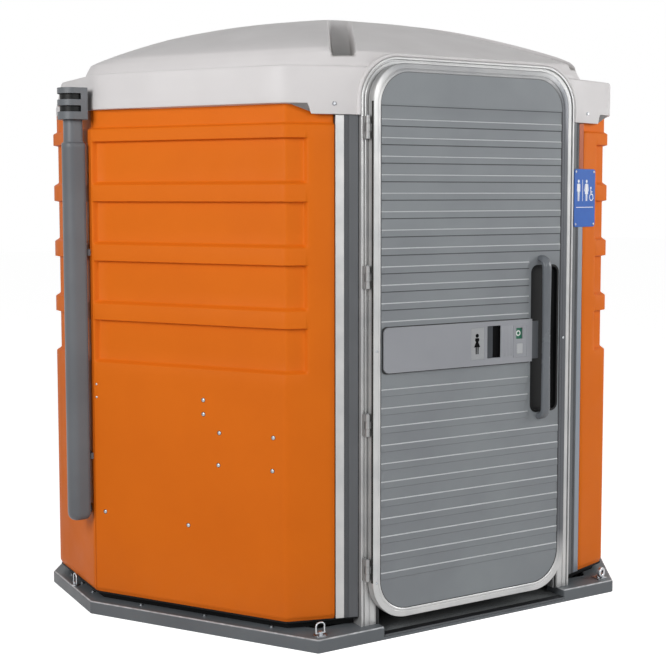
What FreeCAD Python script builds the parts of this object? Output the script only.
"""Accessible portable toilet cabin.

The cabin stands on the XY plane with +Z up. Its door faces -Y and the origin is the middle of the
base tray's underside. Plan outlines run anticlockwise. The plan has eight sides: a front, two long
slanted sides at the front, two short ends, two long slanted sides at the back and a back.
Everything is in millimetres and degrees.
"""
import FreeCAD
import Part
import Sketcher
import os
import re

V = FreeCAD.Vector
DOC = FreeCAD.newDocument("portable_toilet_cabin")
SHEET = DOC.addObject("Spreadsheet::Sheet", "sizes")
NODES = []

SIZES = {
    # Plan of the base tray
    "front_half": 686,
    "side_long": 983,
    "side_angle": 56,
    "end_long": 455,
    # Base tray, its ledge and the doorway between the two front blocks
    "ledge_high": 50,
    "ledge_wide": 110,
    "ledge_round": 8,
    "tray_corner_round": 14,
    "tray_floor": 14,
    "floor_thick": 6,
    "doorway_left": "=frame_half - frame_wide",
    "doorway_right": "=doorway_left + doorway_shift",
    "doorway_shift": 20,
    "threshold_deep": 30,
    "threshold_thick": 2,
    "fit_gap": 1,
    "face_gap": 0.3,
    # Sill that carries the walls, set back so that it stays in shadow
    "sill_outer_inset": 32,
    "sill_foot_inset": 62,
    "sill_inner_inset": 90,
    "sill_lip": 8,
    # Wall panels
    "wall_inset": 27,
    "wall_thick": 26,
    "wall_skin": 8,
    "wall_low": 84,
    "band_top": "=wall_top - band_drop",
    "band_drop": 89,
    "wall_top": 1950,
    "neck_deep": 14,
    "seam_gap": 2,
    "recess_low": "=band_top - recess_drop",
    "recess_drop": 888,
    "recess_tall": 166,
    "recess_step": 223.5,
    "recess_count": 4,
    "recess_deep": 18,
    "recess_slope": 10,
    "recess_edge": 30,
    "hollow_edge": 70,
    "hollow_low": 150,
    "hollow_top": "=recess_low - hollow_gap",
    "hollow_gap": 43,
    # Front wings, from the bend towards the door
    "wing_angle": 16.6,
    "bend_run": 143,
    "recess_wing_inner": 65,
    "recess_wing_outer": 87,
    "flange_end": "=strip_start - seam_gap",
    "strip_start": "=post_end - post_wide",
    "strip_wide": 32,
    "strip_thick": 4,
    "strip_rebate": 3,
    "post_end": "=(front_half - sin(side_angle) * wall_inset + cos(side_angle) * bend_run - frame_half)"
                " / cos(wing_angle) - post_gap",
    "post_gap": 3.8,
    "post_wide": 84,
    "post_thick": 40,
    "ridge_wide": 2,
    "ridge_step": 5,
    "ridge_count": 3,
    "corner_post_thick": 3,
    "corner_post_reach": 38,
    # Roof
    "roof_inset": 15,
    "roof_wall": 5,
    "skirt_low": "=wall_top - skirt_lap",
    "skirt_lap": 23,
    "skirt_top": "=wall_top + skirt_rise",
    "skirt_rise": 108,
    "lappet_low": "=wall_top - lappet_lap",
    "lappet_lap": 60,
    "lappet_start": 665,
    "flange_inner_inset": 80,
    "flange_thick": 8,
    "skirt_end_low": 33,
    "skirt_end_top": 40,
    "skirt_back_top": 70,
    "shelf_side": 150,
    "shelf_end": 75,
    "shelf_back": 180,
    "crease_inset": 75,
    "crease_side": 175,
    "crease_end": 90,
    "crease_back": 205,
    "crease_top": "=skirt_top + crease_rise",
    "crease_rise": 59,
    "dome_rise": 250,
    "dome_inset_low": 200,
    "dome_side_low": 232,
    "dome_end_low": 212,
    "dome_back_low": 290,
    "dome_inset_mid": 400,
    "dome_side_mid": 410,
    "dome_end_mid": 405,
    "dome_back_mid": 440,
    "dome_inset_top": 700,
    "crown_share": 0.35,
    "crown_top": "=crease_top + crown_rise",
    "crown_rise": 233,
    "channel_x": 540,
    "channel_wide": 90,
    "channel_floor": "=crease_top - channel_drop",
    "channel_drop": 20,
    "channel_flat": 180,
    "channel_long": 760,
    "channel_turn": 29.2,
    "bead_wide": 14,
    "bead_deep": 10,
    # Door frame and seal
    "frame_half": 485,
    "frame_top": "=skirt_top + frame_rise",
    "frame_rise": 40,
    "frame_wide": 75,
    "frame_deep": 60,
    "frame_setback": 40,
    "frame_round": 155,
    "seal_step": 4,
    "seal_wide": 10,
    # Door
    "door_left": "=frame_half - hinge_room",
    "hinge_room": 24,
    "door_right": "=frame_half - frame_wide + door_lap",
    "door_lap": 12,
    "door_low": 73,
    "door_top": "=frame_top - door_drop",
    "door_drop": 24,
    "door_thick": 36.5,
    "door_round_top": 137,
    "door_round_low": 143,
    "rim_wide": 31,
    "rim_wall": 3,
    "rim_inner_round": 119,
    "skin_inset": 20,
    "skin_gap": 0.2,
    "outer_skin_thick": 12,
    "inner_skin_thick": 9,
    "rib_tall": 21,
    "rib_proud": 1.8,
    "rib_low_start": 225,
    "rib_low_step": "=(plate_low - rib_low_start - rib_low_gap) / (rib_low_count - 1)",
    "rib_low_gap": 82,
    "rib_low_count": 11,
    "rib_top_start": "=plate_top - fit_gap",
    "rib_top_step": "=(door_top - rib_top_start - rib_top_gap) / (rib_top_count - 1)",
    "rib_top_gap": 221.9,
    "rib_top_count": 12,
    "rib_end_gap": 3,
    # Lock plate
    "plate_left": "=door_left - plate_margin",
    "plate_margin": 41,
    "plate_right": "=handle_x - plate_end_gap",
    "plate_end_gap": 50,
    "plate_low": 974,
    "plate_top": 1137,
    "plate_thick": 11,
    "plate_round": 20,
    "picture_left": 39,
    "picture_right": 21,
    "picture_low": 997,
    "picture_top": 1116,
    "picture_deep": 3,
    "slot_left": 35,
    "slot_right": 96,
    "slot_low": 999,
    "slot_top": 1120,
    "slot_deep": 9,
    "window_left": "=indicator_left + window_near",
    "window_near": 13,
    "window_right": "=indicator_right - window_far",
    "window_far": 22,
    "window_low": 1064,
    "window_top": 1106,
    "indicator_left": "=plate_right - indicator_side",
    "indicator_side": 89,
    "indicator_right": "=plate_right - indicator_margin",
    "indicator_margin": 22,
    "indicator_low": 995,
    "indicator_top": 1117,
    "indicator_border": 4,
    "indicator_proud": 2,
    "flag_long": 65,
    "flag_thick": 2,
    "flag_travel": 28,
    "flag_run": 0.5,
    "block_low": 985,
    "block_top": 1128,
    # Pull handle and the tray behind it
    "handle_x": "=door_right - handle_side",
    "handle_side": 125,
    "handle_low": 747,
    "handle_top": 1378,
    "handle_wide": 38,
    "handle_thick": 24,
    "handle_front": 42.5,
    "handle_round": 33,
    "tray_left": "=handle_x - tray_near",
    "tray_near": 43,
    "tray_right": "=handle_x + tray_far",
    "tray_far": 80,
    "tray_low": 780,
    "tray_top": 1336,
    "tray_deep": 20,
    "tray_wall": 2.5,
    "tray_flange": 6,
    "tray_flange_thick": 1.6,
    "tray_round": 24,
    # Hinges
    "hinge_low": 223,
    "hinge_step": "=(door_top - hinge_low - hinge_drop) / (hinge_count - 1)",
    "hinge_drop": 269.1,
    "hinge_count": 4,
    "hinge_tall": 80,
    "hinge_gap": 12,
    "hinge_axis_deep": 18.5,
    "knuckle_radius": 9,
    "knuckle_tall": 26,
    "pin_radius": 3.5,
    "pin_play": 0.05,
    "pin_head": 6,
    # Latch on the inside of the door
    "case_left": "=case_right - case_wide",
    "case_wide": 133,
    "case_right": "=door_right - case_margin",
    "case_margin": 34,
    "case_low": 1010,
    "case_top": 1115,
    "case_deep": 39,
    "bolt_left": "=bolt_right - bolt_long",
    "bolt_long": 128,
    "bolt_right": "=frame_half - frame_wide - bolt_clear",
    "bolt_clear": 12,
    "bolt_low": 1045,
    "bolt_tall": 24,
    "bolt_deep": 16,
    "bolt_front": 50.5,
    "bolt_travel": 28,
    "bolt_play": 0.5,
    "strike_thick": 3,
    "strike_edge": 13,
    "strike_side": 6,
    "knob_x": "=case_left + knob_side",
    "knob_side": 65,
    "knob_z": 1090,
    "knob_radius": 22,
    "knob_thick": 14,
    "lever_long": 60,
    "lever_wide": 14,
    "spindle_radius": 5,
    "spindle_long": 12,
    "inner_pull_x": "=handle_x - pull_side",
    "pull_side": 247,
    "inner_pull_z": 930,
    "inner_pull_long": 400,
    "inner_pull_reach": 45,
    "inner_pull_radius": 10,
    # Sign on the right wing
    "sign_run": "=post_end - sign_side",
    "sign_side": 92,
    "sign_wide": 152,
    "sign_tall": 229,
    "sign_low": 1481,
    "sign_thick": 3,
    "sign_round": 12,
    "sign_rivet_inset": 11,
    "rivet_radius": 4,
    "rivet_proud": 2,
    # Vent duct on the left end
    "vent_gap": 13,
    "vent_y": 195,
    "sleeve_radius": 43,
    "sleeve_low": 380,
    "sleeve_top": "=neck_top - neck_tall",
    "neck_tall": 85,
    "cap_low": 366,
    "cap_inset": 9,
    "neck_inset": 7,
    "neck_top": "=wall_top - neck_drop",
    "neck_drop": 60,
    "vent_wall": 3,
    "head_radius": 54,
    "head_top": "=neck_top + head_tall",
    "head_tall": 118,
    "head_slot_tall": 22,
    "head_slot_low": "=neck_top + head_slot_rise",
    "head_slot_rise": 29,
    "head_slot_step": 45,
    "head_slot_start": 26,
    "bracket_wide": 44,
    "bracket_tall": 24,
    "bracket_low": 600,
    "bracket_step": 780,
    "elbow_radius": 18,
    "elbow_wall": 2.5,
    "elbow_y": 172,
    "elbow_z": 400,
    # Waste tank, seat and lid
    "tank_inset": 60,
    "tank_front": 640,
    "tank_half": 560,
    "tank_top": 430,
    "tank_wall": 6,
    "seat_back": 1060,
    "seat_front": 650,
    "seat_half": 185,
    "seat_thick": 22,
    "seat_round": 150,
    "bowl_back": 985,
    "bowl_front": 690,
    "bowl_half": 115,
    "bowl_round": 105,
    "lid_thick": 14,
    "lid_axis_x": 1083,
    "lid_axis_up": 31,
    "lid_barrel_radius": 8,
    "lid_pin_radius": 4,
    "lid_arm_half": 58,
    "lug_wide": 20,
    "lug_half": 12,
    "lug_gap": 2,
    # Grab bars
    "grab_run": 725,
    "grab_span": 450,
    "grab_z": 840,
    "grab_reach": 60,
    "grab_radius": 16,
    "grab_wall": 2,
    "grab_round": 45,
    "grab_flange_radius": 38,
    "grab_flange_thick": 5,
    # Paper holder
    "paper_run": 50,
    "paper_wide": 225,
    "paper_low": 628,
    "paper_tall": 120,
    "paper_plate": 3,
    "paper_reach": 114,
    "paper_axis": 59,
    "spindle_paper_radius": 19.9,
    "roll_radius": 50,
    "roll_bore": 20,
    "roll_wide": 100,
    # Hand cleaner dispenser on the right end
    "soap_low": 1000,
    "soap_tall": 220,
    "soap_half": 60,
    "soap_deep": 100,
    "push_low": 1020,
    "push_tall": 40,
    "push_half": 45,
    "push_long": 40,
    "push_proud": 12,
    "push_travel": 8,
    # Mirror and coat hook on the back wall
    "mirror_x": 60,
    "mirror_low": 1200,
    "mirror_wide": 300,
    "mirror_tall": 400,
    "mirror_thick": 5,
    "hook_x": -300,
    "hook_z": 1500,
    "hook_reach": 40,
    "hook_radius": 5,
    # Fasteners and tie-down eyes
    "wall_rivet_radius": 6,
    "wall_rivet_proud": 2.5,
    "small_rivet_radius": 4.2,
    # Rivets of the front left wall: run from the bend along the wall, and height
    "rivet_run_0": 339,
    "rivet_high_0": 863,
    "rivet_run_1": 339,
    "rivet_high_1": 811,
    "rivet_run_2": 272,
    "rivet_high_2": 747,
    "rivet_run_3": 49,
    "rivet_high_3": 748,
    "rivet_run_4": 277,
    "rivet_high_4": 628,
    "rivet_run_5": 53,
    "rivet_high_5": 628,
    "rivet_run_6": 782,
    "rivet_high_6": 401,
    "rivet_run_7": 408,
    "rivet_high_7": 391,
    "rivet_run_8": 815,
    "rivet_high_8": 891,
    "rivet_run_9": 815,
    "rivet_high_9": 841,
    "screw_radius": 7,
    "screw_tall": 4,
    "screw_inset": 46,
    "bolt_head_radius": 8,
    "bolt_head_tall": 5,
    "bolt_side": 90,
    "eye_x": "=front_half - eye_side",
    "eye_side": 29,
    "eye_y": "=end_long / 2 + side_long * sin(side_angle) - eye_inset",
    "eye_inset": 39.44,
    "end_eye_inset": 14,
    "end_eye_y": 10,
    "eye_plate_radius": 24,
    "end_plate_radius": 12,
    "eye_plate_thick": 4,
    "saddle_half": 7,
    "saddle_wall": 3,
    "ring_wide": 34,
    "ring_tall": 38,
    "ring_wire": 3,
    "ring_round": 14,
    "ring_clear": 2.5,
    "bracket_plate": 46,
    "boss_radius": 12,
}

LARGE_RIVETS = 8
FUNCTIONS = ("sin", "cos", "tan")

HALF_DEPTH = "(end_long / 2 + side_long * sin(side_angle))"
HALF_WIDTH = "(front_half + side_long * cos(side_angle))"
END_TURN = "(90 - side_angle)"
BEND_TURN = "(side_angle - wing_angle)"
FLOOR_TOP = "(tray_floor + floor_thick)"


def bound(text):
    """Expression with each size's name turned into its cell."""
    def cell(match):
        word = match.group(0)
        return word if word in FUNCTIONS else "sizes." + word

    return re.sub(r"[a-z]\w*", cell, text)


def value(text):
    """Present value of an expression of sizes."""
    return float(SHEET.evalExpression(bound(text)))


def drive(thing, name, text):
    thing.setExpression(name, bound(text))


def negative(text):
    return "(-(%s))" % text


def fill_sheet():
    for row, (name, number) in enumerate(SIZES.items(), 1):
        SHEET.set("A%d" % row, name)
        SHEET.set("B%d" % row, str(number))
        SHEET.setAlias("B%d" % row, name)
    DOC.recompute()


def place(thing, x="0", y="0", z="0", yaw=None):
    """Origin of a sub-part, and its turn about Z."""
    for axis, text in (("x", x), ("y", y), ("z", z)):
        drive(thing, "Placement.Base." + axis, text)
    if yaw is not None:
        drive(thing, "Placement.Rotation.Yaw", yaw)
    return thing


def node(thing, label):
    thing.Label = label
    NODES.append(thing)
    return thing


# Sketches and features

def new_body(name):
    return DOC.addObject("PartDesign::Body", name)


def new_sketch(body, plane, offset):
    sketch = body.newObject("Sketcher::SketchObject", body.Name + "_sketch")
    origin = [feature for feature in body.Origin.OriginFeatures if feature.Role == plane][0]
    sketch.AttachmentSupport = [(origin, "")]
    sketch.MapMode = "FlatFace"
    drive(sketch, "AttachmentOffset.Base.z", offset)
    return sketch


def hold(sketch, kind, edge, end, text):
    """Distance of an edge's end from the sketch's origin, or an arc's radius."""
    if kind == "Radius":
        number = sketch.addConstraint(Sketcher.Constraint(kind, edge, value(text)))
    else:
        number = sketch.addConstraint(Sketcher.Constraint(kind, -1, 1, edge, end, value(text)))
    sketch.setExpression("Constraints[%d]" % number, bound(text))


def outline(body, points, offset="0", plane="XY_Plane"):
    """Closed outline of straight edges."""
    sketch = new_sketch(body, plane, offset)
    count = len(points)
    corners = [V(value(x), value(y), 0) for x, y in points]
    for i in range(count):
        sketch.addGeometry(Part.LineSegment(corners[i], corners[(i + 1) % count]), False)
    for i in range(count):
        sketch.addConstraint(Sketcher.Constraint("Coincident", i, 2, (i + 1) % count, 1))
    for i, (x, y) in enumerate(points):
        hold(sketch, "DistanceX", i, 1, x)
        hold(sketch, "DistanceY", i, 1, y)
    return sketch


def arc(centre_x, centre_y, radius, start):
    """Quarter turn, anticlockwise from the start angle in quarter turns."""
    quarter = 1.5707963267948966
    circle = Part.Circle(V(centre_x, centre_y, 0), V(0, 0, 1), radius)
    return Part.ArcOfCircle(circle, start * quarter, (start + 1) * quarter)


def rounded(body, left, right, low, top, radii, offset="0", plane="XZ_Plane"):
    """Rectangle with four rounded corners: low right, top right, top left, low left."""
    sketch = new_sketch(body, plane, offset)
    x0, x1, y0, y1 = value(left), value(right), value(low), value(top)
    r = [value(text) for text in radii]
    sketch.addGeometry(Part.LineSegment(V(x0 + r[3], y0, 0), V(x1 - r[0], y0, 0)), False)
    sketch.addGeometry(arc(x1 - r[0], y0 + r[0], r[0], 3), False)
    sketch.addGeometry(Part.LineSegment(V(x1, y0 + r[0], 0), V(x1, y1 - r[1], 0)), False)
    sketch.addGeometry(arc(x1 - r[1], y1 - r[1], r[1], 0), False)
    sketch.addGeometry(Part.LineSegment(V(x1 - r[1], y1, 0), V(x0 + r[2], y1, 0)), False)
    sketch.addGeometry(arc(x0 + r[2], y1 - r[2], r[2], 1), False)
    sketch.addGeometry(Part.LineSegment(V(x0, y1 - r[2], 0), V(x0, y0 + r[3], 0)), False)
    sketch.addGeometry(arc(x0 + r[3], y0 + r[3], r[3], 2), False)
    for i in range(8):
        sketch.addConstraint(Sketcher.Constraint("Tangent", i, 2, (i + 1) % 8, 1))
    for i, kind in ((0, "Horizontal"), (2, "Vertical"), (4, "Horizontal"), (6, "Vertical")):
        sketch.addConstraint(Sketcher.Constraint(kind, i))
    for i, text in zip((1, 3, 5, 7), radii):
        hold(sketch, "Radius", i, 0, text)
    hold(sketch, "DistanceY", 0, 1, low)
    hold(sketch, "DistanceX", 2, 1, right)
    hold(sketch, "DistanceY", 4, 1, top)
    hold(sketch, "DistanceX", 6, 1, left)
    return sketch


def arch(body, left, right, low, top, radius, offset="0", plane="XZ_Plane", closed=True):
    """Two legs joined by a top with two rounded corners, closed by a foot line or left open."""
    sketch = new_sketch(body, plane, offset)
    x0, x1, y0, y1, r = value(left), value(right), value(low), value(top), value(radius)
    sketch.addGeometry(Part.LineSegment(V(x1, y0, 0), V(x1, y1 - r, 0)), False)
    sketch.addGeometry(arc(x1 - r, y1 - r, r, 0), False)
    sketch.addGeometry(Part.LineSegment(V(x1 - r, y1, 0), V(x0 + r, y1, 0)), False)
    sketch.addGeometry(arc(x0 + r, y1 - r, r, 1), False)
    sketch.addGeometry(Part.LineSegment(V(x0, y1 - r, 0), V(x0, y0, 0)), False)
    for i in range(4):
        sketch.addConstraint(Sketcher.Constraint("Tangent", i, 2, i + 1, 1))
    for i, kind in ((0, "Vertical"), (2, "Horizontal"), (4, "Vertical")):
        sketch.addConstraint(Sketcher.Constraint(kind, i))
    hold(sketch, "Radius", 1, 0, radius)
    hold(sketch, "Radius", 3, 0, radius)
    hold(sketch, "DistanceX", 0, 1, right)
    hold(sketch, "DistanceY", 0, 1, low)
    hold(sketch, "DistanceY", 2, 1, top)
    hold(sketch, "DistanceX", 4, 2, left)
    hold(sketch, "DistanceY", 4, 2, low)
    if closed:
        sketch.addGeometry(Part.LineSegment(V(x0, y0, 0), V(x1, y0, 0)), False)
        sketch.addConstraint(Sketcher.Constraint("Coincident", 4, 2, 5, 1))
        sketch.addConstraint(Sketcher.Constraint("Coincident", 5, 2, 0, 1))
    return sketch


def circles(body, x, y, radii, offset="0", plane="XY_Plane"):
    """Circles about one centre."""
    sketch = new_sketch(body, plane, offset)
    for i, radius in enumerate(radii):
        sketch.addGeometry(Part.Circle(V(value(x), value(y), 0), V(0, 0, 1), value(radius)), False)
        hold(sketch, "Radius", i, 0, radius)
        hold(sketch, "DistanceX", i, 3, x)
        hold(sketch, "DistanceY", i, 3, y)
    return sketch


def pad(body, sketch, length):
    feature = body.newObject("PartDesign::Pad", body.Name + "_pad")
    feature.Profile = sketch
    drive(feature, "Length", length)
    return feature


def pocket(body, sketch, length):
    """Cut that runs along the sketch's normal."""
    feature = body.newObject("PartDesign::Pocket", body.Name + "_pocket")
    feature.Profile = sketch
    feature.Reversed = True
    drive(feature, "Length", length)
    return feature


def add_slab(body, points, low, top, plane="XY_Plane"):
    return pad(body, outline(body, points, low, plane), "(%s) - (%s)" % (top, low))


def cut_slab(body, points, low, top, plane="XY_Plane"):
    return pocket(body, outline(body, points, low, plane), "(%s) - (%s)" % (top, low))


def slab(name, points, low, top, plane="XY_Plane"):
    body = new_body(name)
    add_slab(body, points, low, top, plane)
    return body


def rectangle(left, right, low, top):
    return [(left, low), (right, low), (right, top), (left, top)]


def repeat_up(body, feature, step, count):
    """Copies of a feature one above another."""
    pattern = body.newObject("PartDesign::LinearPattern", body.Name + "_pattern")
    pattern.Originals = [feature]
    axis = [item for item in body.Origin.OriginFeatures if item.Role == "Z_Axis"][0]
    pattern.Direction = (axis, [""])
    drive(pattern, "Length", "(%s - 1) * %s" % (count, step))
    drive(pattern, "Occurrences", count)
    body.Tip = pattern
    return pattern


def loft(body, sketches):
    feature = body.newObject("PartDesign::AdditiveLoft", body.Name + "_loft")
    feature.Profile = sketches[0]
    feature.Sections = sketches[1:]
    feature.Ruled = True
    return feature


def sweep(body, profile, path):
    feature = body.newObject("PartDesign::AdditivePipe", body.Name + "_pipe")
    feature.Profile = profile
    feature.Spine = (path, ["Edge%d" % (i + 1) for i in range(path.GeometryCount)])
    return feature


# Simple solids and how they are joined

def block(name, x, y, z, long, wide, tall):
    box = DOC.addObject("Part::Box", name)
    for size, text in (("Length", long), ("Width", wide), ("Height", tall)):
        drive(box, size, text)
    return place(box, x, y, z)


def span_block(name, left, right, front, back, low, top):
    """Box between planes. Front and back are distances forward of the cabin's middle."""
    return block(name, left, "-(%s)" % front, low, "(%s) - (%s)" % (right, left),
                 "(%s) - (%s)" % (front, back), "(%s) - (%s)" % (top, low))


def rod(name, x, y, z, radius, long, axis="z"):
    cylinder = DOC.addObject("Part::Cylinder", name)
    drive(cylinder, "Radius", radius)
    drive(cylinder, "Height", long)
    if axis == "x":
        cylinder.Placement.Rotation = FreeCAD.Rotation(V(0, 1, 0), 90)
    if axis == "y":
        cylinder.Placement.Rotation = FreeCAD.Rotation(V(1, 0, 0), -90)
    return place(cylinder, x, y, z)


def stud(name, x, y, z, radius, proud, axis="z", flip=False):
    """Rivet or screw head: a low cone on its face."""
    cone = DOC.addObject("Part::Cone", name)
    drive(cone, "Radius1", radius)
    drive(cone, "Radius2", "(%s) * 0.6" % radius)
    drive(cone, "Height", proud)
    if axis == "y":
        cone.Placement.Rotation = FreeCAD.Rotation(V(1, 0, 0), 90 if flip else -90)
    return place(cone, x, y, z)


def fuse(name, *parts):
    joined = DOC.addObject("Part::MultiFuse", name)
    joined.Shapes = list(parts)
    joined.Refine = True
    return joined


def cut(name, base, *tools):
    result = DOC.addObject("Part::Cut", name)
    result.Base = base
    result.Tool = tools[0] if len(tools) == 1 else fuse(name + "_tools", *tools)
    return result


def group(name, *parts):
    """Separate solids that share one sub-part."""
    bundle = DOC.addObject("Part::Compound", name)
    bundle.Links = list(parts)
    return bundle


def mirror(name, source, normal):
    copy = DOC.addObject("Part::Mirroring", name)
    copy.Source = source
    copy.Base = V(0, 0, 0)
    copy.Normal = normal
    return copy


# Plan geometry

def mirrored_half(points):
    """Left half of an outline, from its right half, in reverse order."""
    return [(negative(x), y) for x, y in reversed(points)]


def corner_points(inset):
    """Right half of the eight-sided outline at a distance inside the tray's edge, front to back."""
    front_x = "(front_half - (%s) * tan(side_angle / 2))" % inset
    end_x = "(%s - (%s))" % (HALF_WIDTH, inset)
    end_y = "(end_long / 2 - (%s) * tan(%s / 2))" % (inset, END_TURN)
    edge_y = "(%s - (%s))" % (HALF_DEPTH, inset)
    return [(front_x, negative(edge_y)), (end_x, negative(end_y)), (end_x, end_y), (front_x, edge_y)]


def octagon(inset, share="1"):
    points = [("(%s) * %s" % (x, share), "(%s) * %s" % (y, share)) for x, y in corner_points(inset)]
    return points + mirrored_half(points)


def bend_point(inset):
    """Where the right wing meets the right front side, at a distance inside the tray's side edge."""
    run = "(bend_run + (%s - wall_inset) * tan(%s / 2))" % (inset, BEND_TURN)
    x = "(front_half - sin(side_angle) * (%s) + cos(side_angle) * %s)" % (inset, run)
    y = "(-%s + cos(side_angle) * (%s) + sin(side_angle) * %s)" % (HALF_DEPTH, inset, run)
    return x, y


def wing_point(inset, x):
    bend_x, bend_y = bend_point(inset)
    return x, "(%s - (%s - (%s)) * tan(wing_angle))" % (bend_y, bend_x, x)


def cabin_half(inset, door_half):
    """Right half of the walls' outline: door side, bend, end corners and back corner."""
    return [wing_point(inset, door_half), bend_point(inset)] + corner_points(inset)[1:]


def cabin_outline(inset, door_half):
    points = cabin_half(inset, door_half)
    return points + mirrored_half(points)


def open_ring(outer_inset, inner_inset, door_half):
    """Band that runs round the cabin from one side of the door to the other."""
    outer = cabin_half(outer_inset, door_half)
    inner = cabin_half(inner_inset, door_half)
    inner_loop = inner + mirrored_half(inner)
    return outer + mirrored_half(outer) + list(reversed(inner_loop))


def left_wall_point(run, depth):
    """Point of the front left wall: run from the bend, and depth inside its outer face."""
    bend_x, bend_y = bend_point("wall_inset")
    x = "(-%s - cos(side_angle) * (%s) + sin(side_angle) * (%s))" % (bend_x, run, depth)
    y = "(%s + sin(side_angle) * (%s) + cos(side_angle) * (%s))" % (bend_y, run, depth)
    return x, y


DOOR_FRONT = HALF_DEPTH
DOOR_BACK = "(%s - door_thick)" % HALF_DEPTH
SKIN_FRONT = "(%s - rim_wall - skin_gap)" % HALF_DEPTH
FRAME_FRONT = "(%s - frame_setback)" % HALF_DEPTH
FRAME_BACK = "(%s - frame_setback - frame_deep)" % HALF_DEPTH
INNER_FACE = "(%s + rim_wall + skin_gap)" % DOOR_BACK
OPENING_HALF = "(frame_half - frame_wide)"
OPENING_TOP = "(frame_top - frame_wide)"
OPENING_ROUND = "(frame_round - frame_wide)"
HINGE_X = "(-door_left - hinge_gap)"
HINGE_FORWARD = "(%s - hinge_axis_deep)" % HALF_DEPTH
WALL_FACE_X = "(%s - wall_inset)" % HALF_WIDTH
WALL_INNER_X = "(%s - wall_thick)" % WALL_FACE_X
BACK_INNER_Y = "(%s - wall_inset - wall_thick)" % HALF_DEPTH


# Base tray, floor and sill

def base_tray():
    body = new_body("tray")
    plate = add_slab(body, octagon("0"), "0", "ledge_high")
    DOC.recompute()
    upright = [i for i, edge in enumerate(plate.Shape.Edges, 1)
               if abs(edge.Vertexes[0].Z - edge.Vertexes[-1].Z) > 1]
    fillet = body.newObject("PartDesign::Fillet", "tray_corners")
    fillet.Base = (plate, ["Edge%d" % i for i in upright])
    drive(fillet, "Radius", "tray_corner_round")
    DOC.recompute()
    rim = [i for i, face in enumerate(fillet.Shape.Faces, 1)
           if face.normalAt(0, 0).z > 0.9]
    top_round = body.newObject("PartDesign::Fillet", "tray_rim")
    top_round.Base = (fillet, ["Face%d" % i for i in rim])
    drive(top_round, "Radius", "ledge_round")
    cut_slab(body, octagon("ledge_wide"), "tray_floor", "ledge_high + fit_gap")
    doorway = rectangle("-doorway_left", "doorway_right", "-%s - fit_gap" % HALF_DEPTH,
                        "-%s + ledge_wide + fit_gap" % HALF_DEPTH)
    cut_slab(body, doorway, "tray_floor", "ledge_high + fit_gap")
    node(body, "base_tray")


def floor_plate():
    tongue_back = "-%s + ledge_wide + fit_gap" % HALF_DEPTH
    tongue_front = "-%s" % HALF_DEPTH
    left = "-doorway_left + fit_gap"
    right = "doorway_right - fit_gap"
    points = [(left, tongue_back), (left, tongue_front), (right, tongue_front), (right, tongue_back)]
    points += octagon("ledge_wide + fit_gap")
    node(slab("floor_body", points, "tray_floor", FLOOR_TOP), "floor_plate")


def threshold_strip():
    front = "-%s - threshold_thick" % HALF_DEPTH
    edge = "-%s" % HALF_DEPTH
    top = "%s + threshold_thick" % FLOOR_TOP
    profile = [(front, "tray_floor"), (edge, "tray_floor"), (edge, FLOOR_TOP),
               ("%s + threshold_deep" % edge, FLOOR_TOP), ("%s + threshold_deep" % edge, top), (front, top)]
    body = slab("threshold_body", profile, "-doorway_left + 2 * fit_gap", "doorway_right - 2 * fit_gap",
                "YZ_Plane")
    node(body, "threshold_strip")


def floor_sill():
    body = new_body("sill")
    door_half = "frame_half + fit_gap"
    add_slab(body, open_ring("sill_outer_inset", "sill_inner_inset", door_half), "ledge_high", "wall_low")
    rebate = open_ring("sill_outer_inset - fit_gap", "sill_foot_inset", "frame_half - fit_gap")
    cut_slab(body, rebate, "ledge_high - fit_gap", "wall_low - sill_lip")
    node(body, "floor_sill")


# Wall panels

def strip_points(start, end, depth, start_slope="0", end_slope="0"):
    """Band along a straight panel's outer face, from just outside it to a depth."""
    return [(start, "fit_gap"), (end, "fit_gap"), ("%s - %s" % (end, end_slope), negative(depth)),
            ("%s + %s" % (start, start_slope), negative(depth))]


def bent_points(run, wing_run_outer, wing_run_inner, depth, run_slope="0"):
    """The same band where the panel goes round the bend onto the wing."""
    turn = BEND_TURN
    return [("-fit_gap * tan(%s / 2)" % turn, "fit_gap"), (run, "fit_gap"),
            ("%s - %s" % (run, run_slope), negative(depth)),
            ("%s * tan(%s / 2)" % (depth, turn), negative(depth)),
            ("-(%s) * cos(%s) + (%s) * sin(%s)" % (wing_run_inner, turn, depth, turn),
             "-(%s) * sin(%s) - (%s) * cos(%s)" % (wing_run_inner, turn, depth, turn)),
            ("-(%s) * cos(%s) - fit_gap * sin(%s)" % (wing_run_outer, turn, turn),
             "-(%s) * sin(%s) + fit_gap * cos(%s)" % (wing_run_outer, turn, turn))]


def finish_panel(body, length, neck, recess):
    """Stepped-in neck, thin lower field hollowed from inside, and the row of outer recesses."""
    cut_slab(body, neck, "band_top", "wall_top + fit_gap")
    field = rectangle("hollow_edge", "%s - hollow_edge" % length, "-wall_thick - fit_gap", "-wall_skin")
    cut_slab(body, field, "hollow_low", "hollow_top")
    first = cut_slab(body, recess, "recess_low", "recess_low + recess_tall")
    repeat_up(body, first, "recess_step", "recess_count")


def straight_panel(name, length, start_turn, end_turn, recess):
    body = new_body(name)
    half = "seam_gap / 2"
    points = [(half, "0"), ("%s - %s" % (length, half), "0"),
              ("%s - %s - wall_thick * tan(%s / 2)" % (length, half, end_turn), "-wall_thick"),
              ("%s + wall_thick * tan(%s / 2)" % (half, start_turn), "-wall_thick")]
    add_slab(body, points, "wall_low", "wall_top")
    neck = strip_points("-fit_gap", "%s + fit_gap" % length, "neck_deep")
    finish_panel(body, length, neck, recess)
    return body


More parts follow.
